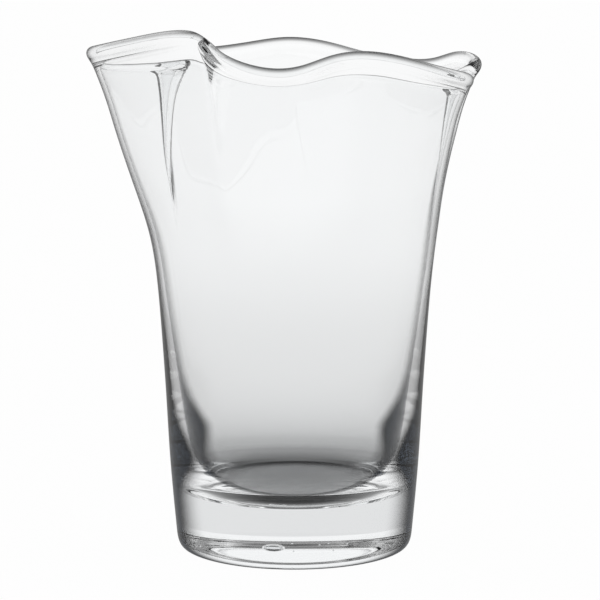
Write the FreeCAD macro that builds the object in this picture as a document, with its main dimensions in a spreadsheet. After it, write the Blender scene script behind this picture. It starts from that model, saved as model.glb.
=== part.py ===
import FreeCAD, Part

import math
import os

import Sketcher


# A clear blown glass vase: a thick solid base, a wall that flares and folds
# into four soft lobes, and a rounded lip along the folded rim.
# Millimetres, +Z up, origin at the middle of the flat underside.
# The camera side of the object is -Y, its right side is +X.

doc = FreeCAD.newDocument("rose_bowl_vase")

# Driving sizes, one named cell each
SIZES = [
    ("overall_height", 180, "underside to the highest point of the rim"),
    ("rim_mean_height", 172, "height at which an even rim would stand"),
    ("rim_low_height", 160, "level that the rim's rise shares start from"),
    ("rim_reach", 70, "axis to the middle of the lip at the farthest lobe"),
    ("base_height", 20, "underside to the floor of the inside"),
    ("foot_radius", 40.3, "radius of the base where its side meets the underside"),
    ("base_top_radius", 42, "outer radius of the base at the floor level"),
    ("foot_edge_radius", 5.2, "rounding of the edge that the base stands on"),
    ("floor_radius", 25.5, "radius of the dished floor inside"),
    ("dish_depth", 0.8, "depth of the dished floor at its middle"),
    ("neck_radius", 50.2, "outer radius of the round body under the folds"),
    ("wall_thickness", 2.2, "wall of the upper body and of the folds"),
    ("lip_thickness", 4.7, "thickness of the rounded lip"),
]

sheet = doc.addObject("Spreadsheet::Sheet", "Sizes")
for line, (alias, value, note) in enumerate(SIZES, start=1):
    sheet.set("A%d" % line, alias)
    sheet.set("B%d" % line, str(value))
    sheet.set("C%d" % line, note)
    sheet.setAlias("B%d" % line, alias)
doc.recompute()


def size(alias):
    return float(sheet.get(alias))


# Rim, counter-clockwise from the right, seen from above. Each place is a share
# of a full turn, a share of rim_reach, and a share of the rise from
# rim_low_height to overall_height.
RIM_SHARES = [
    (0.0226, 0.914, 0.375),
    (0.0433, 0.905, 0.485),
    (0.0669, 0.876, 0.505),
    (0.0900, 0.838, 0.340),
    (0.1149, 0.799, 0.300),
    (0.1426, 0.777, 0.375),
    (0.1594, 0.729, 0.400),
    (0.1822, 0.761, 0.450),
    (0.2224, 0.827, 0.615),
    (0.2580, 0.858, 0.680),
    (0.2898, 0.867, 0.575),
    (0.3209, 0.894, 0.490),
    (0.3502, 0.946, 0.450),
    (0.3725, 0.995, 0.450),
    (0.3874, 0.957, 0.450),
    (0.3857, 0.825, 0.425),
    (0.4032, 0.775, 0.425),
    (0.4323, 0.831, 0.475),
    (0.4669, 0.934, 0.550),
    (0.4977, 0.986, 0.615),
    (0.5260, 0.967, 0.660),
    (0.5571, 0.915, 0.755),
    (0.5936, 0.901, 0.855),
    (0.6302, 0.930, 0.960),
    (0.6584, 0.971, 1.030),
    (0.6757, 0.968, 1.015),
    (0.6762, 0.871, 0.850),
    (0.6728, 0.751, 0.650),
    (0.6878, 0.618, 0.440),
    (0.7251, 0.550, 0.330),
    (0.7639, 0.574, 0.400),
    (0.7897, 0.722, 0.630),
    (0.8090, 0.866, 0.710),
    (0.8347, 0.929, 0.630),
    (0.8697, 0.910, 0.465),
    (0.9089, 0.884, 0.325),
    (0.9435, 0.884, 0.240),
    (0.9672, 0.836, 0.160),
    (0.9798, 0.734, 0.150),
    (1.0015, 0.779, 0.200),
]

# Wall, from the base up. Each row is a share of the height from base_height to
# rim_mean_height, a share of the growth from base_top_radius to neck_radius,
# a share of the extra thickness at the foot of the wall, a share of the fold,
# and a share of the turn from even spacing towards the spacing of the rim.
WALL_SHARES = [
    (0.000, 0.000, 1.000, 0.00, 0.00),
    (0.013, 0.018, 0.692, 0.00, 0.00),
    (0.040, 0.061, 0.469, 0.00, 0.00),
    (0.086, 0.122, 0.308, 0.00, 0.00),
    (0.151, 0.189, 0.224, 0.00, 0.06),
    (0.237, 0.268, 0.147, 0.00, 0.18),
    (0.329, 0.378, 0.077, 0.00, 0.36),
    (0.421, 0.494, 0.021, 0.00, 0.50),
    (0.507, 0.634, 0.000, 0.00, 0.60),
    (0.579, 0.793, 0.000, 0.02, 0.60),
    (0.645, 0.927, 0.000, 0.12, 0.60),
    (0.711, 1.000, 0.000, 0.28, 0.60),
    (0.770, 1.000, 0.000, 0.44, 0.60),
    (0.829, 1.000, 0.000, 0.59, 0.60),
    (0.882, 1.000, 0.000, 0.71, 0.60),
    (0.928, 1.000, 0.000, 0.85, 0.60),
    (0.961, 1.000, 0.007, 0.95, 0.60),
]

# Section of the lip, from its outer foot over the top to its inner foot, as
# shares of a full turn about the middle of the lip.
LIP_TURN_SHARES = [-0.097, 0.028, 0.139, 0.250, 0.361, 0.472, 0.597]

# The folds on the right start higher up the wall than those on the left.
LATE_FOLD_SHARE = 0.40

# The deep fold behind the left lobe leans round the wall as it goes down: by a
# share of a turn, most at one place, fading over a width.
LEAN_SHARE = 0.055
LEAN_PLACE_SHARE = 0.392
LEAN_WIDTH_SHARE = 0.039

UPPER_TURN_SHARE = 0.60
STATIONS = len(RIM_SHARES)


# Control points: plain vector sums on FreeCAD.Vector
def boost(step):
    # A cubic ring runs inside its control points by this factor.
    return 6 / (4 + 2 * math.cos(step))


def around(radius, angle, height):
    return FreeCAD.Vector(radius * math.cos(angle), radius * math.sin(angle), height)


def rim_angles():
    return [math.tau * turn for turn, reach, rise in RIM_SHARES]


def even_angles():
    own = rim_angles()
    first = sum(own[i] - math.tau * i / STATIONS for i in range(STATIONS)) / STATIONS
    return [first + math.tau * i / STATIONS for i in range(STATIONS)]


def body_angles(turn_share):
    angles = []
    for even, own in zip(even_angles(), rim_angles()):
        away = (own / math.tau - LEAN_PLACE_SHARE) / LEAN_WIDTH_SHARE
        lean = math.tau * LEAN_SHARE * math.exp(-away * away)
        angles.append(even + turn_share * (own - even + lean))
    return angles


def rim_top(rise):
    low = size("rim_low_height")
    return low + rise * (size("overall_height") - low)


def row_thickness(share):
    foot_width = size("base_top_radius") - size("floor_radius")
    return size("wall_thickness") + share * (foot_width - size("wall_thickness"))


def wall_row(height_share, radius_share, thickness_share, fold_share, turn_share):
    base = size("base_height")
    height = base + height_share * (size("rim_mean_height") - base)
    grown = size("neck_radius") - size("base_top_radius")
    outer = size("base_top_radius") + radius_share * grown
    middle = outer - row_thickness(thickness_share) / 2
    angles = body_angles(turn_share)
    row = []
    for i, (turn, reach, rise) in enumerate(RIM_SHARES):
        here = angles[i]
        span = (angles[(i + 1) % STATIONS] - angles[i - 1]) % math.tau
        late = 1 + LATE_FOLD_SHARE * (1 + math.cos(here)) / 2
        fold = fold_share ** late if fold_share > 0 else 0
        radius = (1 - fold) * middle * boost(span / 2) + fold * reach * size("rim_reach")
        angle = (1 - fold) * here + fold * math.tau * turn
        raised = base + height_share * (rim_top(rise) - base)
        row.append(around(radius, angle, (1 - fold) * height + fold * raised))
    return row


def lip_middle():
    half = size("lip_thickness") / 2
    row = []
    for turn, reach, rise in RIM_SHARES:
        radius = reach * size("rim_reach")
        row.append(around(radius, math.tau * turn, rim_top(rise) - half))
    return row


def unit(vector):
    return FreeCAD.Vector(vector).normalize()


def skin_rows():
    # Middle of the glass from the base to the lip
    middle = [wall_row(*shares) for shares in WALL_SHARES] + [lip_middle()]
    thickness = [row_thickness(shares[2]) for shares in WALL_SHARES]
    turned = [shares[4] / UPPER_TURN_SHARE for shares in WALL_SHARES] + [1]
    last = len(middle) - 1
    outward = []
    upward = []
    for j, row in enumerate(middle):
        out_row = []
        up_row = []
        for i in range(STATIONS):
            side = row[(i + 1) % STATIONS] - row[i - 1]
            rise = middle[min(j + 1, last)][i] - middle[max(j - 1, 0)][i]
            square = unit(side.cross(rise))
            plain = unit(FreeCAD.Vector(row[i].x, row[i].y, 0))
            out = unit(plain * (1 - turned[j]) + square * turned[j])
            out_row.append(out)
            up_row.append(unit(rise - out * rise.dot(out)))
        outward.append(out_row)
        upward.append(up_row)
    # Outer face, lip section and inner face in one run of rows
    outer = []
    inner = []
    for j, depth in enumerate(thickness):
        pairs = list(zip(middle[j], outward[j]))
        outer.append([place + out * (depth / 2) for place, out in pairs])
        inner.append([place - out * (depth / 2) for place, out in pairs])
    step = math.tau * (LIP_TURN_SHARES[2] - LIP_TURN_SHARES[1])
    radius = size("lip_thickness") / 2 * boost(step)
    lip = []
    for share in LIP_TURN_SHARES:
        across = radius * math.cos(math.tau * share)
        along = radius * math.sin(math.tau * share)
        triples = zip(middle[last], outward[last], upward[last])
        lip.append([place + out * across + up * along for place, out, up in triples])
    return outer, lip, inner


def smooth_skin(rows):
    # Cubic in both directions, closed round the vase, clamped at both ends
    ends = [rows[0]]
    ends.append([(a * 2 + b) * (1 / 3) for a, b in zip(rows[0], rows[1])])
    ends.extend(rows[1:-1])
    ends.append([(a * 2 + b) * (1 / 3) for a, b in zip(rows[-1], rows[-2])])
    ends.append(rows[-1])
    poles = [list(column) for column in zip(*ends)]
    skin = Part.BSplineSurface()
    skin.buildFromPolesMultsKnots(
        poles,
        [1] * (STATIONS + 1),
        [4] + [1] * (len(rows) - 2) + [4],
        [float(i) for i in range(STATIONS + 1)],
        [float(j) for j in range(len(rows))],
        True,
        False,
        3,
        3,
    )
    return skin


def skin_part(skin, first, last):
    piece = skin.copy()
    piece.segment(0.0, float(STATIONS), float(first), float(last))
    return piece


def closed_solid(faces):
    shell = Part.makeShell(faces)
    solid = Part.makeSolid(shell)
    if solid.Volume < 0:
        solid.reverse()
    return solid


# Solid base: a turned puck with a rounded foot edge and a shallow dish on top
base_body = doc.addObject("PartDesign::Body", "solid_base")
base_body.Label = "solid_base"
front_plane = [f for f in base_body.Origin.OriginFeatures if f.Role == "XZ_Plane"][0]
profile = base_body.newObject("Sketcher::SketchObject", "BaseProfile")
profile.AttachmentSupport = [(front_plane, "")]
profile.MapMode = "FlatFace"

flat = FreeCAD.Vector
foot = flat(size("foot_radius"), 0, 0)
edge = flat(size("base_top_radius"), size("base_height"), 0)
dish = flat(size("floor_radius"), size("base_height"), 0)
deep = flat(0, size("base_height") - size("dish_depth"), 0)
rise = size("floor_radius") ** 2 / (2 * size("dish_depth")) + size("dish_depth") / 2
centre = flat(0, deep.y + rise, 0)
sweep = math.asin(size("floor_radius") / rise)
down = -math.tau / 4
hollow = Part.ArcOfCircle(Part.Circle(centre, flat(0, 0, 1), rise), down, down + sweep)

under = profile.addGeometry(Part.LineSegment(flat(0, 0, 0), foot), False)
side = profile.addGeometry(Part.LineSegment(foot, edge), False)
ledge = profile.addGeometry(Part.LineSegment(edge, dish), False)
bowl = profile.addGeometry(hollow, False)
axis = profile.addGeometry(Part.LineSegment(deep, flat(0, 0, 0)), False)

join = Sketcher.Constraint
profile.addConstraint(join("Coincident", under, 1, -1, 1))
profile.addConstraint(join("Coincident", under, 2, side, 1))
profile.addConstraint(join("Coincident", side, 2, ledge, 1))
profile.addConstraint(join("Coincident", ledge, 2, bowl, 2))
profile.addConstraint(join("Coincident", bowl, 1, axis, 1))
profile.addConstraint(join("Coincident", axis, 2, under, 1))
profile.addConstraint(join("Horizontal", under))
profile.addConstraint(join("Horizontal", ledge))
profile.addConstraint(join("Vertical", axis))
profile.addConstraint(join("PointOnObject", bowl, 3, -2))

DIMENSIONS = [
    ("DistanceX", "foot", (-1, 1, under, 2), foot.x, "foot_radius"),
    ("DistanceX", "top", (-1, 1, side, 2), edge.x, "base_top_radius"),
    ("DistanceY", "height", (-1, 1, side, 2), edge.y, "base_height"),
    ("DistanceX", "floor", (-1, 1, ledge, 2), dish.x, "floor_radius"),
    ("DistanceY", "dish", (axis, 1, ledge, 2), dish.y - deep.y, "dish_depth"),
]
for kind, name, places, value, alias in DIMENSIONS:
    number = profile.addConstraint(join(kind, *places, value))
    profile.renameConstraint(number, name)
    profile.setExpression("Constraints." + name, "Sizes." + alias)

turned = base_body.newObject("PartDesign::Revolution", "TurnedBase")
turned.Profile = profile
turned.ReferenceAxis = (profile, ["V_Axis"])
turned.Angle = 360
doc.recompute()


def foot_edges(shape):
    names = []
    for number, rim in enumerate(shape.Edges, start=1):
        low = rim.BoundBox.ZMax < size("foot_edge_radius") / 2
        if low and isinstance(rim.Curve, Part.Circle):
            names.append("Edge%d" % number)
    return names


rounded = base_body.newObject("PartDesign::Fillet", "RoundedFoot")
rounded.Base = (turned, foot_edges(turned.Shape))
rounded.setExpression("Radius", "Sizes.foot_edge_radius")
base_body.Tip = rounded
doc.recompute()

# Wall and lip: two pieces of one smooth skin, parted just under the lip
outer_rows, lip_rows, inner_rows = skin_rows()
skin = smooth_skin(outer_rows + lip_rows + inner_rows[::-1])
lip_start = len(outer_rows) - 1
lip_end = len(outer_rows) + len(lip_rows)
skin_end = lip_end + len(inner_rows) - 1

outer_skin = skin_part(skin, 0, lip_start)
lip_skin = skin_part(skin, lip_start, lip_end)
inner_skin = skin_part(skin, lip_end, skin_end)

outer_foot = skin.vIso(0.0).toShape()
inner_foot = skin.vIso(float(skin_end)).toShape()
outer_seam = skin.vIso(float(lip_start)).toShape()
inner_seam = skin.vIso(float(lip_end)).toShape()
foot_wires = [Part.Wire([outer_foot]), Part.Wire([inner_foot])]
foot_face = Part.makeFace(foot_wires, "Part::FaceMakerBullseye")
seam_face = Part.makeRuledSurface(outer_seam, inner_seam)

wall_faces = [outer_skin.toShape(), seam_face, inner_skin.toShape(), foot_face]
wall = doc.addObject("Part::Feature", "vessel_wall")
wall.Label = "vessel_wall"
wall.Shape = closed_solid(wall_faces)
wall.Placement = FreeCAD.Placement()

lip = doc.addObject("Part::Feature", "fire_polished_lip")
lip.Label = "fire_polished_lip"
lip.Shape = closed_solid([lip_skin.toShape(), seam_face])
lip.Placement = FreeCAD.Placement()
doc.recompute()

# Checks, then one file for each piece
for item in doc.Objects:
    if "Invalid" in item.State or "Error" in item.State:
        raise RuntimeError("%s failed: %s" % (item.Name, item.State))

pieces = [base_body, wall, lip]
for piece in pieces:
    shape = piece.Shape
    if shape.isNull() or not shape.isValid():
        raise RuntimeError("%s has no valid shape" % piece.Label)
    if len(shape.Solids) != 1 or shape.Volume <= 0:
        raise RuntimeError("%s is not one solid" % piece.Label)
    box = shape.BoundBox
    print(
        "%-18s volume %.0f mm3, x %.1f..%.1f, y %.1f..%.1f, z %.1f..%.1f"
        % (piece.Label, shape.Volume, box.XMin, box.XMax, box.YMin, box.YMax, box.ZMin, box.ZMax)
    )

os.makedirs("parts", exist_ok=True)
for piece in pieces:
    piece.Shape.exportStep("parts/%s.step" % piece.Label)
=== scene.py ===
"""A clear glass vase with a folded rim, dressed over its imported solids."""
import logging
import math
from dataclasses import dataclass, field
from enum import Enum
from typing import List, Sequence, Tuple

import bpy
import numpy as np
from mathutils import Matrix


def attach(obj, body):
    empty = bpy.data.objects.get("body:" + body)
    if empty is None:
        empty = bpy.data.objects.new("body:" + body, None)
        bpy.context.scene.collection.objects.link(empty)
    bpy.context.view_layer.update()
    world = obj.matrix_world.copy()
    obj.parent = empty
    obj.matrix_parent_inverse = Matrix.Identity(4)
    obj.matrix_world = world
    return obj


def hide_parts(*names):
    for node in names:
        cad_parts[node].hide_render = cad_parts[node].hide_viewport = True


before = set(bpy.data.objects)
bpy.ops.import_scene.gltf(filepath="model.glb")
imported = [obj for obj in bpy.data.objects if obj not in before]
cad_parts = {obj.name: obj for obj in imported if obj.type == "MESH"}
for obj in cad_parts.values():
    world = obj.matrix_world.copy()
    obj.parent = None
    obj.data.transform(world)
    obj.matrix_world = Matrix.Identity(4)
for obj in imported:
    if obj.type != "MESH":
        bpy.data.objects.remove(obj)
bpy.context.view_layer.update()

LOG = logging.getLogger("vase")

Share3 = Tuple[float, float, float]
Row5 = Tuple[float, float, float, float, float]

GLASS_BOUNCES = 32
MIRROR_BOUNCES = 16


class GlassZone(Enum):
    """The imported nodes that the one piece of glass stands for."""

    BASE = "solid_base"
    WALL = "vessel_wall"
    LIP = "fire_polished_lip"


class Ray(Enum):
    """Kinds of ray that a studio surface is lit differently for."""

    CAMERA = "Is Camera Ray"
    GLOSSY = "Is Glossy Ray"
    THROUGH_GLASS = "Is Transmission Ray"


class NodeSheet:
    """A thin helper that adds nodes to one tree and links them."""

    def __init__(self, tree: bpy.types.NodeTree) -> None:
        """Keep the tree.

        Args:
            tree: the node tree to build in.
        """
        self.tree = tree

    def add(self, kind: str, **settings: object) -> bpy.types.Node:
        """Add one node.

        Args:
            kind: the node's type name.
            **settings: attributes to set on it.

        Returns:
            The new node.
        """
        node = self.tree.nodes.new(kind)
        for name, value in settings.items():
            setattr(node, name, value)
        return node

    def link(self, source: bpy.types.NodeSocket, target: bpy.types.NodeSocket) -> None:
        """Link two sockets.

        Args:
            source: the output to read.
            target: the input to feed.
        """
        self.tree.links.new(source, target)

    def maths(self, operation: str, *values: object) -> bpy.types.NodeSocket:
        """Add a Math node.

        Args:
            operation: the operation's name.
            *values: sockets or plain numbers for its inputs.

        Returns:
            Its result.
        """
        node = self.add("ShaderNodeMath", operation=operation)
        for slot, value in zip(node.inputs, values):
            if isinstance(value, bpy.types.NodeSocket):
                self.link(value, slot)
            else:
                slot.default_value = value
        return node.outputs[0]

    def ramp(
        self, factor: bpy.types.NodeSocket, stops: Sequence[Tuple[float, Sequence[float]]]
    ) -> bpy.types.NodeSocket:
        """Add a colour ramp.

        Args:
            factor: the number that drives it.
            stops: places and linear colours.

        Returns:
            The ramp's colour.
        """
        node = self.add("ShaderNodeValToRGB")
        self.link(factor, node.inputs["Fac"])
        band = node.color_ramp
        band.interpolation = "B_SPLINE"
        while len(band.elements) < len(stops):
            band.elements.new(1.0)
        for element, (place, colour) in zip(band.elements, stops):
            element.position = place
            element.color = (*colour, 1.0)
        return node.outputs["Color"]


@dataclass(frozen=True)
class GlassFinish:
    """Clear glass with painted shade towards its outline.

    The tint is painted dark at glancing angles, a painted shade in bands by height that is
    widest where the wall is thick.
    """

    name: str = "clear_blown_glass"
    base_tint: Share3 = (0.925, 0.940, 0.950)
    wall_tint: Share3 = (0.985, 0.989, 0.990)
    base_level: float = 0.012
    wall_level: float = 0.050
    ior: float = 1.5
    wave_scale: float = 26.0
    wave_detail: float = 1.0
    wave_roughness: float = 0.4
    wave_depth: float = 0.00012
    shadow_clearness: float = 0.93
    # Painted shade: the near black that the glass turns at glancing angles
    painted_edge_shade: Share3 = (0.0006, 0.0009, 0.0015)
    painted_shade_height: float = 0.180
    painted_shade_power: float = 2.5
    # Painted shade by height: the cosine below which the glass is painted
    # darkest, and the one above which it is clear
    painted_shade_stops: Sequence[Tuple[float, Share3]] = (
        (0.000, (0.24, 0.66, 0.0)),
        (0.110, (0.20, 0.62, 0.0)),
        (0.150, (0.30, 0.62, 0.0)),
        (0.190, (0.54, 0.72, 0.0)),
        (0.225, (0.46, 0.62, 0.0)),
        (0.270, (0.28, 0.48, 0.0)),
        (0.330, (0.10, 0.38, 0.0)),
        (0.450, (0.02, 0.36, 0.0)),
        (1.000, (0.02, 0.34, 0.0)),
    )

    def build(self) -> bpy.types.Material:
        """Make the material.

        Returns:
            The glass material.
        """
        material = bpy.data.materials.new(self.name)
        material.use_nodes = True
        sheet = NodeSheet(material.node_tree)
        material.node_tree.nodes.clear()
        output = sheet.add("ShaderNodeOutputMaterial")
        glass = sheet.add("ShaderNodeBsdfPrincipled")
        glass.inputs["Metallic"].default_value = 0.0
        glass.inputs["Transmission Weight"].default_value = 1.0
        glass.inputs["IOR"].default_value = self.ior
        glass.inputs["Roughness"].default_value = 0.0

        place = sheet.add("ShaderNodeTexCoord").outputs["Object"]
        split = sheet.add("ShaderNodeSeparateXYZ")
        sheet.link(place, split.inputs[0])
        level = sheet.add("ShaderNodeMapRange")
        level.inputs["From Min"].default_value = self.base_level
        level.inputs["From Max"].default_value = self.wall_level
        sheet.link(split.outputs["Z"], level.inputs["Value"])
        tint = sheet.ramp(level.outputs[0], [(0.0, self.base_tint), (1.0, self.wall_tint)])
        # Painted shade: towards the outline the tint is painted dark, in bands by height
        height = sheet.maths("DIVIDE", split.outputs["Z"], self.painted_shade_height)
        reach = sheet.add("ShaderNodeSeparateColor")
        sheet.link(sheet.ramp(height, self.painted_shade_stops), reach.inputs[0])
        weight = sheet.add("ShaderNodeLayerWeight")
        weight.inputs["Blend"].default_value = 0.5
        cosine = sheet.maths("SUBTRACT", 1.0, weight.outputs["Facing"])
        share = sheet.add("ShaderNodeMapRange", interpolation_type="SMOOTHSTEP")
        sheet.link(cosine, share.inputs["Value"])
        sheet.link(reach.outputs[0], share.inputs["From Min"])
        sheet.link(reach.outputs[1], share.inputs["From Max"])
        clear_share = sheet.maths("POWER", share.outputs[0], self.painted_shade_power)
        shade = sheet.add("ShaderNodeMix", data_type="RGBA")
        sheet.link(clear_share, shade.inputs[0])
        shade.inputs[6].default_value = (*self.painted_edge_shade, 1.0)
        sheet.link(tint, shade.inputs[7])
        sheet.link(shade.outputs[2], glass.inputs["Base Color"])

        wave = sheet.add("ShaderNodeTexNoise")
        wave.inputs["Scale"].default_value = self.wave_scale
        wave.inputs["Detail"].default_value = self.wave_detail
        wave.inputs["Roughness"].default_value = self.wave_roughness
        sheet.link(place, wave.inputs["Vector"])
        bump = sheet.add("ShaderNodeBump")
        bump.inputs["Strength"].default_value = 1.0
        bump.inputs["Distance"].default_value = self.wave_depth
        sheet.link(wave.outputs["Fac"], bump.inputs["Height"])
        sheet.link(bump.outputs["Normal"], glass.inputs["Normal"])

        clear = sheet.add("ShaderNodeBsdfTransparent")
        clear.inputs["Color"].default_value = (*[self.shadow_clearness] * 3, 1.0)
        path = sheet.add("ShaderNodeLightPath")
        mix = sheet.add("ShaderNodeMixShader")
        sheet.link(path.outputs["Is Shadow Ray"], mix.inputs["Fac"])
        sheet.link(glass.outputs[0], mix.inputs[1])
        sheet.link(clear.outputs[0], mix.inputs[2])
        sheet.link(mix.outputs[0], output.inputs["Surface"])
        return material


@dataclass
class FoldedGlass:
    """The whole vase as one closed piece of glass, with the air caught in its base."""

    overall_height: float = 0.180
    rim_mean_height: float = 0.172
    rim_low_height: float = 0.160
    rim_reach: float = 0.070
    base_height: float = 0.020
    base_top_radius: float = 0.042
    floor_radius: float = 0.0255
    neck_radius: float = 0.0502
    wall_thickness: float = 0.0022
    lip_thickness: float = 0.0047
    late_fold_share: float = 0.40
    lean_share: float = 0.055
    lean_place_share: float = 0.392
    lean_width_share: float = 0.039
    upper_turn_share: float = 0.60
    smooth_levels: int = 2
    finish: GlassFinish = field(default_factory=GlassFinish)
    rim_shares: Sequence[Share3] = (
        (0.0226, 0.914, 0.375),
        (0.0433, 0.905, 0.485),
        (0.0669, 0.876, 0.505),
        (0.0900, 0.838, 0.340),
        (0.1149, 0.799, 0.300),
        (0.1426, 0.777, 0.375),
        (0.1594, 0.729, 0.400),
        (0.1822, 0.761, 0.450),
        (0.2224, 0.827, 0.615),
        (0.2580, 0.858, 0.680),
        (0.2898, 0.867, 0.575),
        (0.3209, 0.894, 0.490),
        (0.3502, 0.946, 0.450),
        (0.3725, 0.995, 0.450),
        (0.3874, 0.957, 0.450),
        (0.3857, 0.825, 0.425),
        (0.4032, 0.775, 0.425),
        (0.4323, 0.831, 0.475),
        (0.4669, 0.934, 0.550),
        (0.4977, 0.986, 0.615),
        (0.5260, 0.967, 0.660),
        (0.5571, 0.915, 0.755),
        (0.5936, 0.901, 0.855),
        (0.6302, 0.930, 0.960),
        (0.6584, 0.971, 1.030),
        (0.6757, 0.968, 1.015),
        (0.6762, 0.871, 0.850),
        (0.6728, 0.751, 0.650),
        (0.6878, 0.618, 0.440),
        (0.7251, 0.550, 0.330),
        (0.7639, 0.574, 0.400),
        (0.7897, 0.722, 0.630),
        (0.8090, 0.866, 0.710),
        (0.8347, 0.929, 0.630),
        (0.8697, 0.910, 0.465),
        (0.9089, 0.884, 0.325),
        (0.9435, 0.884, 0.240),
        (0.9672, 0.836, 0.160),
        (0.9798, 0.734, 0.150),
        (1.0015, 0.779, 0.200),
    )
    wall_shares: Sequence[Row5] = (
        (0.000, 0.000, 1.000, 0.00, 0.00),
        (0.003, 0.004, 0.940, 0.00, 0.00),
        (0.013, 0.018, 0.692, 0.00, 0.00),
        (0.040, 0.061, 0.469, 0.00, 0.00),
        (0.086, 0.122, 0.308, 0.00, 0.00),
        (0.151, 0.189, 0.224, 0.00, 0.06),
        (0.237, 0.268, 0.147, 0.00, 0.18),
        (0.329, 0.378, 0.077, 0.00, 0.36),
        (0.421, 0.494, 0.021, 0.00, 0.50),
        (0.507, 0.634, 0.000, 0.00, 0.60),
        (0.579, 0.793, 0.000, 0.02, 0.60),
        (0.645, 0.927, 0.000, 0.12, 0.60),
        (0.711, 1.000, 0.000, 0.28, 0.60),
        (0.770, 1.000, 0.000, 0.44, 0.60),
        (0.829, 1.000, 0.000, 0.59, 0.60),
        (0.882, 1.000, 0.000, 0.71, 0.60),
        (0.928, 1.000, 0.000, 0.85, 0.60),
        (0.961, 1.000, 0.007, 0.95, 0.60),
    )
    lip_turn_shares: Sequence[float] = (-0.097, 0.028, 0.139, 0.250, 0.361, 0.472, 0.597)
    # Base outside, from the middle of the underside to just under the wall, as
    # shares of base_top_radius and of base_height
    foot_shares: Sequence[Tuple[float, float]] = (
        (0.040, 0.000),
        (0.300, 0.000),
        (0.600, 0.000),
        (0.780, 0.000),
        (0.860, 0.000),
        (0.935, 0.035),
        (0.963, 0.170),
        (0.971, 0.350),
        (0.980, 0.560),
        (0.990, 0.780),
    )
    # Dished floor inside, from the foot of the wall to the middle, as shares of
    # floor_radius and of base_height
    floor_shares: Sequence[Tuple[float, float]] = (
        (0.975, 0.992),
        (0.820, 0.978),
        (0.560, 0.965),
        (0.280, 0.960),
        (0.060, 0.960),
    )

    def stations(self) -> int:
        """Return how many places the rim is set out by."""
        return len(self.rim_shares)

    def rim_angles(self) -> np.ndarray:
        """Return the rim's angles in radians."""
        return math.tau * np.array([turn for turn, reach, rise in self.rim_shares])

    def even_angles(self) -> np.ndarray:
        """Return evenly spaced angles that start where the rim's do on average."""
        steps = math.tau * np.arange(self.stations()) / self.stations()
        return steps + float(np.mean(self.rim_angles() - steps))

    def boost(self, step: np.ndarray) -> np.ndarray:
        """Return how far outside a smooth ring its control points lie.

        Args:
            step: the angle between neighbouring points.

        Returns:
            The factor on the radius.
        """
        # Smoothing leaves a point two thirds of its place and a sixth of each neighbour's
        return 6.0 / (4.0 + 2.0 * np.cos(step))

    def body_angles(self, turn_share: float) -> np.ndarray:
        """Return the angles of one row of the wall.

        Args:
            turn_share: how far the row turns from even spacing to the rim's.

        Returns:
            Angles in radians.
        """
        own = self.rim_angles()
        away = (own / math.tau - self.lean_place_share) / self.lean_width_share
        lean = math.tau * self.lean_share * np.exp(-away * away)
        return self.even_angles() + turn_share * (own - self.even_angles() + lean)

    def rim_tops(self) -> np.ndarray:
        """Return the height of the lip's top at each place of the rim."""
        rise = np.array([share for turn, reach, share in self.rim_shares])
        return self.rim_low_height + rise * (self.overall_height - self.rim_low_height)

    def depth(self, share: float) -> float:
        """Return the glass thickness for a share of the foot's extra thickness.

        Args:
            share: 1 at the foot of the wall, 0 where it is thin.

        Returns:
            The thickness in metres.
        """
        foot = self.base_top_radius - self.floor_radius
        return self.wall_thickness + share * (foot - self.wall_thickness)

    def ring(self, radius: np.ndarray, angle: np.ndarray, height: np.ndarray) -> np.ndarray:
        """Return places round the axis.

        Args:
            radius: distance from the axis.
            angle: angle in radians.
            height: height in metres.

        Returns:
            One row of places.
        """
        parts = np.broadcast_arrays(radius * np.cos(angle), radius * np.sin(angle), height)
        return np.stack(parts, axis=1)

    def wall_row(self, shares: Row5, folded: bool) -> np.ndarray:
        """Return the middle of the glass along one row of the wall.

        Args:
            shares: height, radius, thickness, fold and turn.
            folded: whether the row takes its share of the fold.

        Returns:
            One row of places.
        """
        height_share, radius_share, thickness_share, fold_share, turn_share = shares
        rise = self.rim_mean_height - self.base_height
        height = self.base_height + height_share * rise
        grown = radius_share * (self.neck_radius - self.base_top_radius)
        middle = self.base_top_radius + grown - self.depth(thickness_share) / 2
        here = self.body_angles(turn_share)
        span = (np.roll(here, -1) - np.roll(here, 1)) % math.tau
        late = 1 + self.late_fold_share * (1 + np.cos(here)) / 2
        fold = fold_share ** late if folded and fold_share > 0 else np.zeros(self.stations())
        reach = np.array([share for turn, share, rise in self.rim_shares]) * self.rim_reach
        radius = (1 - fold) * middle * self.boost(span / 2) + fold * reach
        angle = (1 - fold) * here + fold * self.rim_angles()
        raised = self.base_height + height_share * (self.rim_tops() - self.base_height)
        return self.ring(radius, angle, (1 - fold) * height + fold * raised)

    def lip_middle(self) -> np.ndarray:
        """Return the middle of the lip all round the rim."""
        reach = np.array([share for turn, share, rise in self.rim_shares]) * self.rim_reach
        height = self.rim_tops() - self.lip_thickness / 2
        return self.ring(reach, self.rim_angles(), height)

    def directions(self, middle: np.ndarray) -> Tuple[np.ndarray, np.ndarray]:
        """Return the outward and the upward direction at each place.

        Args:
            middle: rows of places in the middle of the glass.

        Returns:
            Outward and upward unit vectors.
        """
        side = np.roll(middle, -1, axis=1) - np.roll(middle, 1, axis=1)
        above = np.concatenate([middle[1:], middle[-1:]])
        below = np.concatenate([middle[:1], middle[:-1]])
        rise = above - below
        square = self.unit(np.cross(side, rise))
        plain = self.unit(middle * np.array((1.0, 1.0, 0.0)))
        turned = [shares[4] / self.upper_turn_share for shares in self.wall_shares] + [1.0]
        share = np.array(turned)[:, None, None]
        outward = self.unit(plain * (1 - share) + square * share)
        along = np.sum(rise * outward, axis=2, keepdims=True)
        return outward, self.unit(rise - outward * along)

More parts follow.
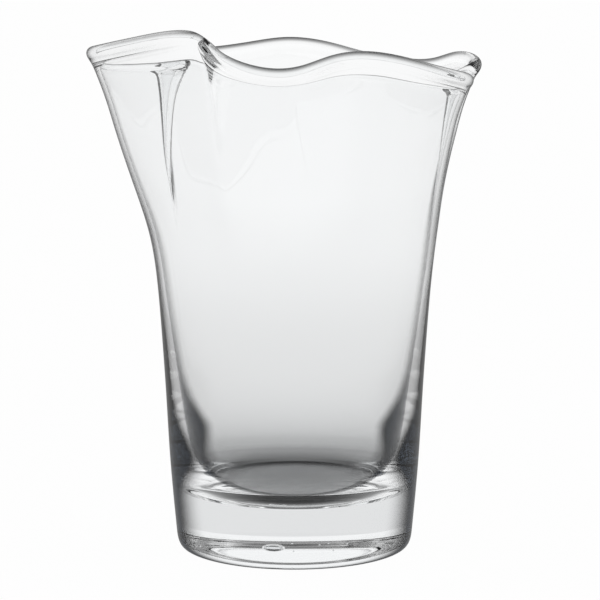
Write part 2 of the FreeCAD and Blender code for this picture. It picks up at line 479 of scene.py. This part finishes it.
    def unit(self, vectors: np.ndarray) -> np.ndarray:
        """Return vectors of length one.

        Args:
            vectors: any vectors.

        Returns:
            The same directions.
        """
        return vectors / np.linalg.norm(vectors, axis=-1, keepdims=True)

    def cage(self) -> Tuple[np.ndarray, ...]:
        """Return the control rows from the underside, over the lip, to the floor.

        Returns:
            Even places, folded places, and the push from mid glass to its face.
        """
        even_mid = [self.wall_row(shares, False) for shares in self.wall_shares]
        fold_mid = [self.wall_row(shares, True) for shares in self.wall_shares]
        lip_mid = self.lip_middle()
        outward, upward = self.directions(np.array(fold_mid + [lip_mid]))
        even, folded, away, half = [], [], [], []

        def keep(plain: np.ndarray, shaped: np.ndarray, out: np.ndarray, depth: float) -> None:
            """Add one row to the cage.

            Args:
                plain: the row's evenly spaced places.
                shaped: its folded places.
                out: unit vectors out of the glass.
                depth: how far along them the face lies.
            """
            even.append(plain)
            folded.append(shaped)
            away.append(out)
            half.append(np.full(self.stations(), depth))

        still = np.zeros((self.stations(), 3))
        angles = self.even_angles()
        step = self.boost(np.array(math.tau / self.stations()))
        for reach, level in self.foot_shares:
            radius = np.array(reach * self.base_top_radius * step)
            row = self.ring(radius, angles, np.array(level * self.base_height))
            keep(row, row, still, 0.0)
        for j, shares in enumerate(self.wall_shares):
            keep(even_mid[j], fold_mid[j], outward[j], self.depth(shares[2]) / 2)
        lip_step = math.tau * (self.lip_turn_shares[2] - self.lip_turn_shares[1])
        lip_radius = self.lip_thickness / 2 * float(self.boost(np.array(lip_step)))
        even_lip = self.ring(
            np.linalg.norm(even_mid[-1][:, :2], axis=1), self.body_angles(1.0), lip_mid[:, 2]
        )
        for share in self.lip_turn_shares:
            across = outward[-1] * lip_radius * math.cos(math.tau * share)
            along = upward[-1] * lip_radius * math.sin(math.tau * share)
            keep(even_lip + across + along, lip_mid + across + along, still, 0.0)
        for j in range(len(self.wall_shares) - 1, -1, -1):
            keep(even_mid[j], fold_mid[j], outward[j], -self.depth(self.wall_shares[j][2]) / 2)
        for reach, level in self.floor_shares:
            radius = np.array(reach * self.floor_radius * step)
            row = self.ring(radius, angles, np.array(level * self.base_height))
            keep(row, row, still, 0.0)
        push = np.array(away) * np.array(half)[:, :, None]
        return tuple(self.twice_round(rows) for rows in (np.array(even), np.array(folded), push))

    @staticmethod
    def twice_round(rows: np.ndarray) -> np.ndarray:
        """Double the control points round each row without changing the smooth surface.

        Args:
            rows: control values, as rows by stations by three.

        Returns:
            The same surface's control values, with twice the stations.
        """
        # The weights are those of one step of smooth subdivision along a row
        before, after = np.roll(rows, 1, axis=1), np.roll(rows, -1, axis=1)
        fine = np.empty((rows.shape[0], 2 * rows.shape[1], 3))
        fine[:, 0::2] = (before + 6 * rows + after) / 8
        fine[:, 1::2] = (rows + after) / 2
        return fine

    def cage_mesh(self) -> bpy.types.Mesh:
        """Make the control mesh with its places stored as attributes.

        Returns:
            The mesh.
        """
        even, folded, push = self.cage()
        rows, around = folded.shape[:2]
        faces = []
        for j in range(rows - 1):
            for i in range(around):
                right = (i + 1) % around
                low, high = j * around, (j + 1) * around
                faces.append((low + i, low + right, high + right, high + i))
        faces.append(tuple(range(around - 1, -1, -1)))
        faces.append(tuple(range((rows - 1) * around, rows * around)))
        mesh = bpy.data.meshes.new("vase_glass")
        mesh.from_pydata(folded.reshape(-1, 3).tolist(), [], faces)
        for name, values in (("even_place", even), ("folded_place", folded), ("push", push)):
            layer = mesh.attributes.new(name, "FLOAT_VECTOR", "POINT")
            layer.data.foreach_set("vector", values.reshape(-1).astype(np.float32))
        mesh.update()
        return mesh

    def shaping_tree(self) -> bpy.types.GeometryNodeTree:
        """Build the tree that folds the control mesh, gives it thickness and smooths it.

        Returns:
            The tree, with inputs for the fold, the glass depth, the smoothing and
            the material.
        """
        tree = bpy.data.node_groups.new("Folded glass", "GeometryNodeTree")
        shape = tree.interface
        shape.new_socket("Geometry", in_out="INPUT", socket_type="NodeSocketGeometry")
        fold = shape.new_socket("Fold", in_out="INPUT", socket_type="NodeSocketFloat")
        depth = shape.new_socket("Glass Depth", in_out="INPUT", socket_type="NodeSocketFloat")
        levels = shape.new_socket("Smoothing", in_out="INPUT", socket_type="NodeSocketInt")
        glass = shape.new_socket("Glass", in_out="INPUT", socket_type="NodeSocketMaterial")
        shape.new_socket("Geometry", in_out="OUTPUT", socket_type="NodeSocketGeometry")
        fold.default_value = 1.0
        depth.default_value = 1.0
        levels.default_value = self.smooth_levels
        sheet = NodeSheet(tree)
        given = sheet.add("NodeGroupInput")
        result = sheet.add("NodeGroupOutput")

        def stored(name: str) -> bpy.types.NodeSocket:
            """Read one stored attribute.

            Args:
                name: the attribute's name.

            Returns:
                Its value at each control point.
            """
            node = sheet.add("GeometryNodeInputNamedAttribute", data_type="FLOAT_VECTOR")
            node.inputs["Name"].default_value = name
            return node.outputs["Attribute"]

        blend = sheet.add("ShaderNodeMix", data_type="VECTOR")
        sheet.link(given.outputs["Fold"], blend.inputs[0])
        sheet.link(stored("even_place"), blend.inputs[4])
        sheet.link(stored("folded_place"), blend.inputs[5])
        push = sheet.add("ShaderNodeVectorMath", operation="SCALE")
        sheet.link(stored("push"), push.inputs[0])
        sheet.link(given.outputs["Glass Depth"], push.inputs["Scale"])
        total = sheet.add("ShaderNodeVectorMath", operation="ADD")
        sheet.link(blend.outputs[1], total.inputs[0])
        sheet.link(push.outputs[0], total.inputs[1])
        place = sheet.add("GeometryNodeSetPosition")
        sheet.link(given.outputs["Geometry"], place.inputs["Geometry"])
        sheet.link(total.outputs[0], place.inputs["Position"])
        smooth = sheet.add("GeometryNodeSubdivisionSurface")
        sheet.link(place.outputs["Geometry"], smooth.inputs["Mesh"])
        sheet.link(given.outputs["Smoothing"], smooth.inputs["Level"])
        soft = sheet.add("GeometryNodeSetShadeSmooth")
        sheet.link(smooth.outputs["Mesh"], soft.inputs["Geometry"])
        real = sheet.add("GeometryNodeRealizeInstances")
        sheet.link(soft.outputs["Geometry"], real.inputs["Geometry"])
        dress = sheet.add("GeometryNodeSetMaterial")
        sheet.link(real.outputs["Geometry"], dress.inputs["Geometry"])
        sheet.link(given.outputs["Glass"], dress.inputs["Material"])
        sheet.link(dress.outputs["Geometry"], result.inputs["Geometry"])
        return tree

    def build(self, bubbles: "CaughtAir") -> bpy.types.Object:
        """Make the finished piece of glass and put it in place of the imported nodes.

        Args:
            bubbles: the air caught in the base.

        Returns:
            The glass as one plain mesh object.
        """
        glass = self.finish.build()
        cage = new_object("vase_cage", self.cage_mesh())
        skin = baked(
            cage,
            self.shaping_tree(),
            {"Fold": 1.0, "Glass Depth": 1.0, "Smoothing": self.smooth_levels, "Glass": glass},
            "vase_skin",
        )
        air = bubbles.build(glass)
        piece = joined("vase_glass", glass, [skin, air])
        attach(piece, "root")
        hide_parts(*[zone.value for zone in GlassZone])
        return piece


@dataclass
class CaughtAir:
    """The long bubble and the fine seeds inside the solid base."""

    seed_count: int = 7
    seed_radius: float = 0.00028
    smallest_seed_share: float = 0.5
    random_seed: int = 11
    detail: int = 3
    # Middle of the seeds' patch and its half extents
    patch_place: Share3 = (0.004, -0.014, 0.0062)
    patch_reach: Share3 = (0.014, 0.014, 0.0030)
    # The long bubble: its middle and its half extents
    bubble_place: Share3 = (-0.0058, -0.020, 0.0060)
    bubble_reach: Share3 = (0.0032, 0.0020, 0.0013)

    def tree(self) -> bpy.types.GeometryNodeTree:
        """Build the tree that scatters the seeds and adds the long bubble.

        Returns:
            The tree, with named sizes and a fixed seed.
        """
        tree = bpy.data.node_groups.new("Caught air", "GeometryNodeTree")
        shape = tree.interface
        shape.new_socket("Geometry", in_out="INPUT", socket_type="NodeSocketGeometry")
        count = shape.new_socket("Seeds", in_out="INPUT", socket_type="NodeSocketInt")
        size = shape.new_socket("Seed Radius", in_out="INPUT", socket_type="NodeSocketFloat")
        chance = shape.new_socket("Random Seed", in_out="INPUT", socket_type="NodeSocketInt")
        low = shape.new_socket("Patch Low", in_out="INPUT", socket_type="NodeSocketVector")
        high = shape.new_socket("Patch High", in_out="INPUT", socket_type="NodeSocketVector")
        place = shape.new_socket("Bubble Place", in_out="INPUT", socket_type="NodeSocketVector")
        reach = shape.new_socket("Bubble Reach", in_out="INPUT", socket_type="NodeSocketVector")
        shape.new_socket("Glass", in_out="INPUT", socket_type="NodeSocketMaterial")
        shape.new_socket("Geometry", in_out="OUTPUT", socket_type="NodeSocketGeometry")
        count.default_value = self.seed_count
        size.default_value = self.seed_radius
        chance.default_value = self.random_seed
        low.default_value = [p - r for p, r in zip(self.patch_place, self.patch_reach)]
        high.default_value = [p + r for p, r in zip(self.patch_place, self.patch_reach)]
        place.default_value = self.bubble_place
        reach.default_value = self.bubble_reach
        sheet = NodeSheet(tree)
        given = sheet.add("NodeGroupInput")
        result = sheet.add("NodeGroupOutput")

        ball = sheet.add("GeometryNodeMeshIcoSphere")
        ball.inputs["Radius"].default_value = 1.0
        ball.inputs["Subdivisions"].default_value = self.detail
        spot = sheet.add("FunctionNodeRandomValue", data_type="FLOAT_VECTOR")
        sheet.link(given.outputs["Patch Low"], spot.inputs["Min"])
        sheet.link(given.outputs["Patch High"], spot.inputs["Max"])
        sheet.link(given.outputs["Random Seed"], spot.inputs["Seed"])
        points = sheet.add("GeometryNodePoints")
        sheet.link(given.outputs["Seeds"], points.inputs["Count"])
        sheet.link(spot.outputs["Value"], points.inputs["Position"])
        share = sheet.add("FunctionNodeRandomValue", data_type="FLOAT")
        share.inputs[2].default_value = self.smallest_seed_share
        share.inputs[3].default_value = 1.0
        sheet.link(given.outputs["Random Seed"], share.inputs["Seed"])
        scale = sheet.maths("MULTIPLY", share.outputs[1], given.outputs["Seed Radius"])
        scatter = sheet.add("GeometryNodeInstanceOnPoints")
        sheet.link(points.outputs[0], scatter.inputs["Points"])
        sheet.link(ball.outputs["Mesh"], scatter.inputs["Instance"])
        sheet.link(scale, scatter.inputs["Scale"])
        bubble = sheet.add("GeometryNodeTransform")
        sheet.link(ball.outputs["Mesh"], bubble.inputs["Geometry"])
        sheet.link(given.outputs["Bubble Place"], bubble.inputs["Translation"])
        sheet.link(given.outputs["Bubble Reach"], bubble.inputs["Scale"])
        both = sheet.add("GeometryNodeJoinGeometry")
        sheet.link(scatter.outputs["Instances"], both.inputs[0])
        sheet.link(bubble.outputs["Geometry"], both.inputs[0])
        real = sheet.add("GeometryNodeRealizeInstances")
        sheet.link(both.outputs[0], real.inputs["Geometry"])
        # The glass is outside each bubble, so its faces look inwards
        flip = sheet.add("GeometryNodeFlipFaces")
        sheet.link(real.outputs["Geometry"], flip.inputs["Mesh"])
        soft = sheet.add("GeometryNodeSetShadeSmooth")
        sheet.link(flip.outputs["Mesh"], soft.inputs["Geometry"])
        dress = sheet.add("GeometryNodeSetMaterial")
        sheet.link(soft.outputs["Geometry"], dress.inputs["Geometry"])
        sheet.link(given.outputs["Glass"], dress.inputs["Material"])
        sheet.link(dress.outputs["Geometry"], result.inputs["Geometry"])
        return tree

    def build(self, glass: bpy.types.Material) -> bpy.types.Object:
        """Make the bubbles as one plain mesh.

        Args:
            glass: the material of the glass round them.

        Returns:
            The mesh object.
        """
        seat = new_object("air_seat", bpy.data.meshes.new("air_seat"))
        return baked(seat, self.tree(), {"Glass": glass}, "caught_air")


def new_object(name: str, data: bpy.types.ID) -> bpy.types.Object:
    """Add an object to the scene.

    Args:
        name: the object's name.
        data: its mesh, lamp or camera.

    Returns:
        The object, at the origin.
    """
    item = bpy.data.objects.new(name, data)
    bpy.context.scene.collection.objects.link(item)
    return item


def baked(
    seat: bpy.types.Object, tree: bpy.types.GeometryNodeTree, values: dict, name: str
) -> bpy.types.Object:
    """Run a Geometry Nodes tree on an object and keep the result as a plain mesh.

    Args:
        seat: the object that carries the tree; it is removed.
        tree: the tree.
        values: input values by their names in the tree.
        name: the new object's name.

    Returns:
        The plain mesh object.
    """
    modifier = seat.modifiers.new("Shape", "NODES")
    modifier.node_group = tree
    for item in tree.interface.items_tree:
        if item.item_type == "SOCKET" and item.in_out == "INPUT" and item.name in values:
            modifier[item.identifier] = values[item.name]
    bpy.context.view_layer.update()
    solid = seat.evaluated_get(bpy.context.evaluated_depsgraph_get())
    mesh = bpy.data.meshes.new_from_object(solid)
    mesh.name = name
    bpy.data.objects.remove(seat, do_unlink=True)
    return new_object(name, mesh)


def joined(
    name: str, material: bpy.types.Material, parts: List[bpy.types.Object]
) -> bpy.types.Object:
    """Join plain meshes into one piece with one material.

    Args:
        name: the piece's name.
        material: its only material.
        parts: the objects to join; they are removed.

    Returns:
        The piece.
    """
    places: List[Tuple[float, float, float]] = []
    faces: List[Tuple[int, ...]] = []
    for part in parts:
        start = len(places)
        places.extend(tuple(vertex.co) for vertex in part.data.vertices)
        faces.extend(tuple(start + i for i in face.vertices) for face in part.data.polygons)
        bpy.data.objects.remove(part, do_unlink=True)
    mesh = bpy.data.meshes.new(name)
    mesh.from_pydata(places, [], faces)
    mesh.materials.append(material)
    mesh.polygons.foreach_set("use_smooth", [True] * len(mesh.polygons))
    mesh.validate()
    mesh.update()
    return new_object(name, mesh)


@dataclass(frozen=True)
class TableFinish:
    """A white table top with painted shade and a painted reflection, seen through the glass.

    It is matt white to the camera and to the lamps. Rays that come through the glass find a
    painted shadow on it near the vase, painted shade where they meet it from above and a painted
    reflection of the white room at low angles; reflected rays find it at a dim painted tone.
    """

    name: str = "white_table"
    colour: Share3 = (0.86, 0.86, 0.86)
    shadow_share: float = 0.02
    # Painted shade: the dim tone that the table shows to reflected rays
    mirrored_tone: float = 0.30
    # Painted shadow: darker near the vase, for rays through the glass
    painted_shadow_stops: Sequence[Tuple[float, Share3]] = (
        (0.000, (0.82, 0.82, 0.82)),
        (0.120, (0.82, 0.82, 0.82)),
        (0.220, (0.86, 0.86, 0.86)),
        (0.320, (0.90, 0.90, 0.90)),
        (0.480, (0.95, 0.95, 0.95)),
        (0.700, (1.00, 1.00, 1.00)),
        (1.000, (1.04, 1.04, 1.04)),
    )
    painted_shadow_radius: float = 1.6
    # Painted reflection and shade: at a low angle the top is painted with the white room's
    # reflection, from above it is painted dark
    painted_reflection_and_shade_stops: Sequence[Tuple[float, Share3]] = (
        (0.00, (0.03, 0.03, 0.03)),
        (0.10, (0.05, 0.05, 0.05)),
        (0.22, (0.17, 0.17, 0.17)),
        (0.42, (0.34, 0.34, 0.34)),
        (0.58, (0.62, 0.62, 0.62)),
        (0.69, (0.90, 0.90, 0.90)),
        (0.76, (0.99, 0.99, 0.99)),
        (1.00, (1.00, 1.00, 1.00)),
    )

    def build(self) -> bpy.types.Material:
        """Make the material.

        Returns:
            The table's material.
        """
        material = bpy.data.materials.new(self.name)
        material.use_nodes = True
        sheet = NodeSheet(material.node_tree)
        material.node_tree.nodes.clear()
        output = sheet.add("ShaderNodeOutputMaterial")
        matt = sheet.add("ShaderNodeBsdfDiffuse")
        matt.inputs["Color"].default_value = (*self.colour, 1.0)
        white = sheet.add("ShaderNodeEmission")
        white.inputs["Color"].default_value = (1.0, 1.0, 1.0, 1.0)
        # Painted shadow near the vase, and painted reflection and shade by angle, for rays
        # through the glass
        seen = sheet.add("ShaderNodeEmission")
        place = sheet.add("ShaderNodeTexCoord").outputs["Object"]
        length = sheet.add("ShaderNodeVectorMath", operation="LENGTH")
        sheet.link(place, length.inputs[0])
        away = sheet.maths("DIVIDE", length.outputs["Value"], self.painted_shadow_radius)
        weight = sheet.add("ShaderNodeLayerWeight")
        weight.inputs["Blend"].default_value = 0.5
        tone = sheet.add("ShaderNodeMix", data_type="RGBA", blend_type="MULTIPLY")
        tone.inputs[0].default_value = 1.0
        sheet.link(sheet.ramp(away, self.painted_shadow_stops), tone.inputs[6])
        sheet.link(sheet.ramp(weight.outputs["Facing"], self.painted_reflection_and_shade_stops), tone.inputs[7])
        sheet.link(tone.outputs[2], seen.inputs["Color"])
        path = sheet.add("ShaderNodeLightPath")
        camera = sheet.add("ShaderNodeMixShader")
        keep = sheet.maths("MULTIPLY", path.outputs[Ray.CAMERA.value], 1.0 - self.shadow_share)
        sheet.link(keep, camera.inputs["Fac"])
        sheet.link(matt.outputs[0], camera.inputs[1])
        sheet.link(white.outputs[0], camera.inputs[2])
        # Painted shade: reflected rays see the table at this dim tone
        mirrored = sheet.add("ShaderNodeEmission")
        mirrored.inputs["Strength"].default_value = self.mirrored_tone
        second = sheet.add("ShaderNodeMixShader")
        sheet.link(path.outputs[Ray.GLOSSY.value], second.inputs["Fac"])
        sheet.link(camera.outputs[0], second.inputs[1])
        sheet.link(mirrored.outputs[0], second.inputs[2])
        through = sheet.add("ShaderNodeMixShader")
        sheet.link(path.outputs[Ray.THROUGH_GLASS.value], through.inputs["Fac"])
        sheet.link(second.outputs[0], through.inputs[1])
        sheet.link(seen.outputs[0], through.inputs[2])
        sheet.link(through.outputs[0], output.inputs["Surface"])
        return material


@dataclass
class Studio:
    """A white table in a white room that is dim overhead, with two soft lamps."""

    table_radius: float = 6.0
    table_corners: int = 96
    table_drop: float = 0.0004
    room_white: float = 1.0
    room_light: float = 0.55
    mirrored_tone: float = 0.30
    # How white the room is through the glass, by how far up a ray points
    sky_stops: Sequence[Tuple[float, Share3]] = (
        (0.00, (1.05, 1.05, 1.05)),
        (0.70, (1.00, 1.00, 1.00)),
        (0.90, (0.30, 0.30, 0.30)),
    )
    lamp_width: float = 1.0
    lamp_length: float = 1.4
    lamp_height: float = 1.5
    lamp_tilt: float = 38.0
    # Each lamp's name, its place over the table and its power in watts
    lamps: Sequence[Tuple[str, float, float, float]] = (
        ("key_panel", -1.3, -0.9, 16.0),
        ("fill_panel", 1.4, -0.6, 9.0),
    )
    table: TableFinish = field(default_factory=TableFinish)

    def build_table(self) -> None:
        """Make the round table top."""
        corners = range(self.table_corners)
        turns = [math.tau * i / self.table_corners for i in corners]
        reach = self.table_radius
        ring = [(reach * math.cos(turn), reach * math.sin(turn), 0.0) for turn in turns]
        mesh = bpy.data.meshes.new("table_top")
        mesh.from_pydata(ring, [], [tuple(corners)])
        mesh.materials.append(self.table.build())
        item = new_object("table_top", mesh)
        item.location.z = -self.table_drop

    def build_room(self) -> None:
        """Light the room: white where it is seen, plain soft light elsewhere."""
        world = bpy.data.worlds.new("white_room")
        bpy.context.scene.world = world
        world.use_nodes = True
        sheet = NodeSheet(world.node_tree)
        world.node_tree.nodes.clear()
        output = sheet.add("ShaderNodeOutputWorld")
        seen = sheet.add("ShaderNodeBackground")
        light = sheet.add("ShaderNodeBackground")
        light.inputs["Color"].default_value = (1.0, 1.0, 1.0, 1.0)
        light.inputs["Strength"].default_value = self.room_light
        through = sheet.add("ShaderNodeBackground")
        seen.inputs["Color"].default_value = (1.0, 1.0, 1.0, 1.0)
        seen.inputs["Strength"].default_value = self.room_white
        facing = sheet.add("ShaderNodeTexCoord").outputs["Generated"]
        split = sheet.add("ShaderNodeSeparateXYZ")
        sheet.link(facing, split.inputs[0])
        sky = sheet.ramp(split.outputs["Z"], self.sky_stops)
        sheet.link(sky, through.inputs["Color"])
        path = sheet.add("ShaderNodeLightPath")
        first = sheet.add("ShaderNodeMixShader")
        sheet.link(path.outputs[Ray.CAMERA.value], first.inputs["Fac"])
        sheet.link(light.outputs[0], first.inputs[1])
        sheet.link(seen.outputs[0], first.inputs[2])
        mirrored = sheet.add("ShaderNodeBackground")
        mirrored.inputs["Color"].default_value = (1.0, 1.0, 1.0, 1.0)
        mirrored.inputs["Strength"].default_value = self.mirrored_tone
        second = sheet.add("ShaderNodeMixShader")
        sheet.link(path.outputs[Ray.GLOSSY.value], second.inputs["Fac"])
        sheet.link(first.outputs[0], second.inputs[1])
        sheet.link(mirrored.outputs[0], second.inputs[2])
        last = sheet.add("ShaderNodeMixShader")
        sheet.link(path.outputs[Ray.THROUGH_GLASS.value], last.inputs["Fac"])
        sheet.link(second.outputs[0], last.inputs[1])
        sheet.link(through.outputs[0], last.inputs[2])
        sheet.link(last.outputs[0], output.inputs["Surface"])

    def build_lamps(self) -> None:
        """Hang one broad soft lamp on each side of the table."""
        for name, x, y, power in self.lamps:
            lamp = bpy.data.lights.new(name, "AREA")
            lamp.shape = "RECTANGLE"
            lamp.size = self.lamp_width
            lamp.size_y = self.lamp_length
            lamp.energy = power
            item = new_object(name, lamp)
            item.location = (x, y, self.lamp_height)
            item.rotation_euler = (math.radians(self.lamp_tilt), 0.0, math.atan2(-x, y))
            item.visible_glossy = False
            item.visible_transmission = False

    def build(self) -> None:
        """Build the whole studio."""
        self.build_table()
        self.build_room()
        self.build_lamps()


@dataclass
class PhotoCamera:
    """The camera of the reference photograph."""

    distance: float = 0.924
    height: float = 0.2167
    tilt_down: float = 8.06
    focal_pixels: float = 2724.0
    frame_pixels: float = 600.0
    sensor_width: float = 36.0
    axis_pixel: float = 294.3
    nearest_seen: float = 0.01

    def build(self) -> bpy.types.Object:
        """Make the camera and look through it.

        Returns:
            The camera.
        """
        lens = bpy.data.cameras.new("photo_camera")
        lens.sensor_width = self.sensor_width
        lens.lens = self.focal_pixels / self.frame_pixels * self.sensor_width
        lens.clip_start = self.nearest_seen
        lens.dof.use_dof = False
        item = new_object("photo_camera", lens)
        aside = self.frame_pixels / 2 - self.axis_pixel
        item.location = (aside * self.distance / self.focal_pixels, -self.distance, self.height)
        item.rotation_euler = (math.radians(90 - self.tilt_down), 0.0, 0.0)
        bpy.context.scene.camera = item
        return item


def set_light_paths() -> None:
    """Let light cross all the layers of glass and keep colours as they are."""
    scene = bpy.context.scene
    scene.view_settings.view_transform = "Standard"
    scene.cycles.max_bounces = GLASS_BOUNCES
    scene.cycles.transmission_bounces = GLASS_BOUNCES
    scene.cycles.glossy_bounces = MIRROR_BOUNCES
    scene.cycles.transparent_max_bounces = MIRROR_BOUNCES


def main() -> None:
    """Build the vase, then its studio, then the camera."""
    logging.basicConfig(level=logging.INFO, format="%(name)s: %(message)s")
    set_light_paths()
    vase = FoldedGlass().build(CaughtAir())
    LOG.info("%s: %d faces", vase.name, len(vase.data.polygons))
    studio = Studio()
    studio.build()
    LOG.info("studio: one table, one room and %d lamps", len(studio.lamps))
    camera = PhotoCamera().build()
    LOG.info("%s: lens %.1f mm", camera.name, camera.data.lens)


if __name__ == "__main__":
    main()
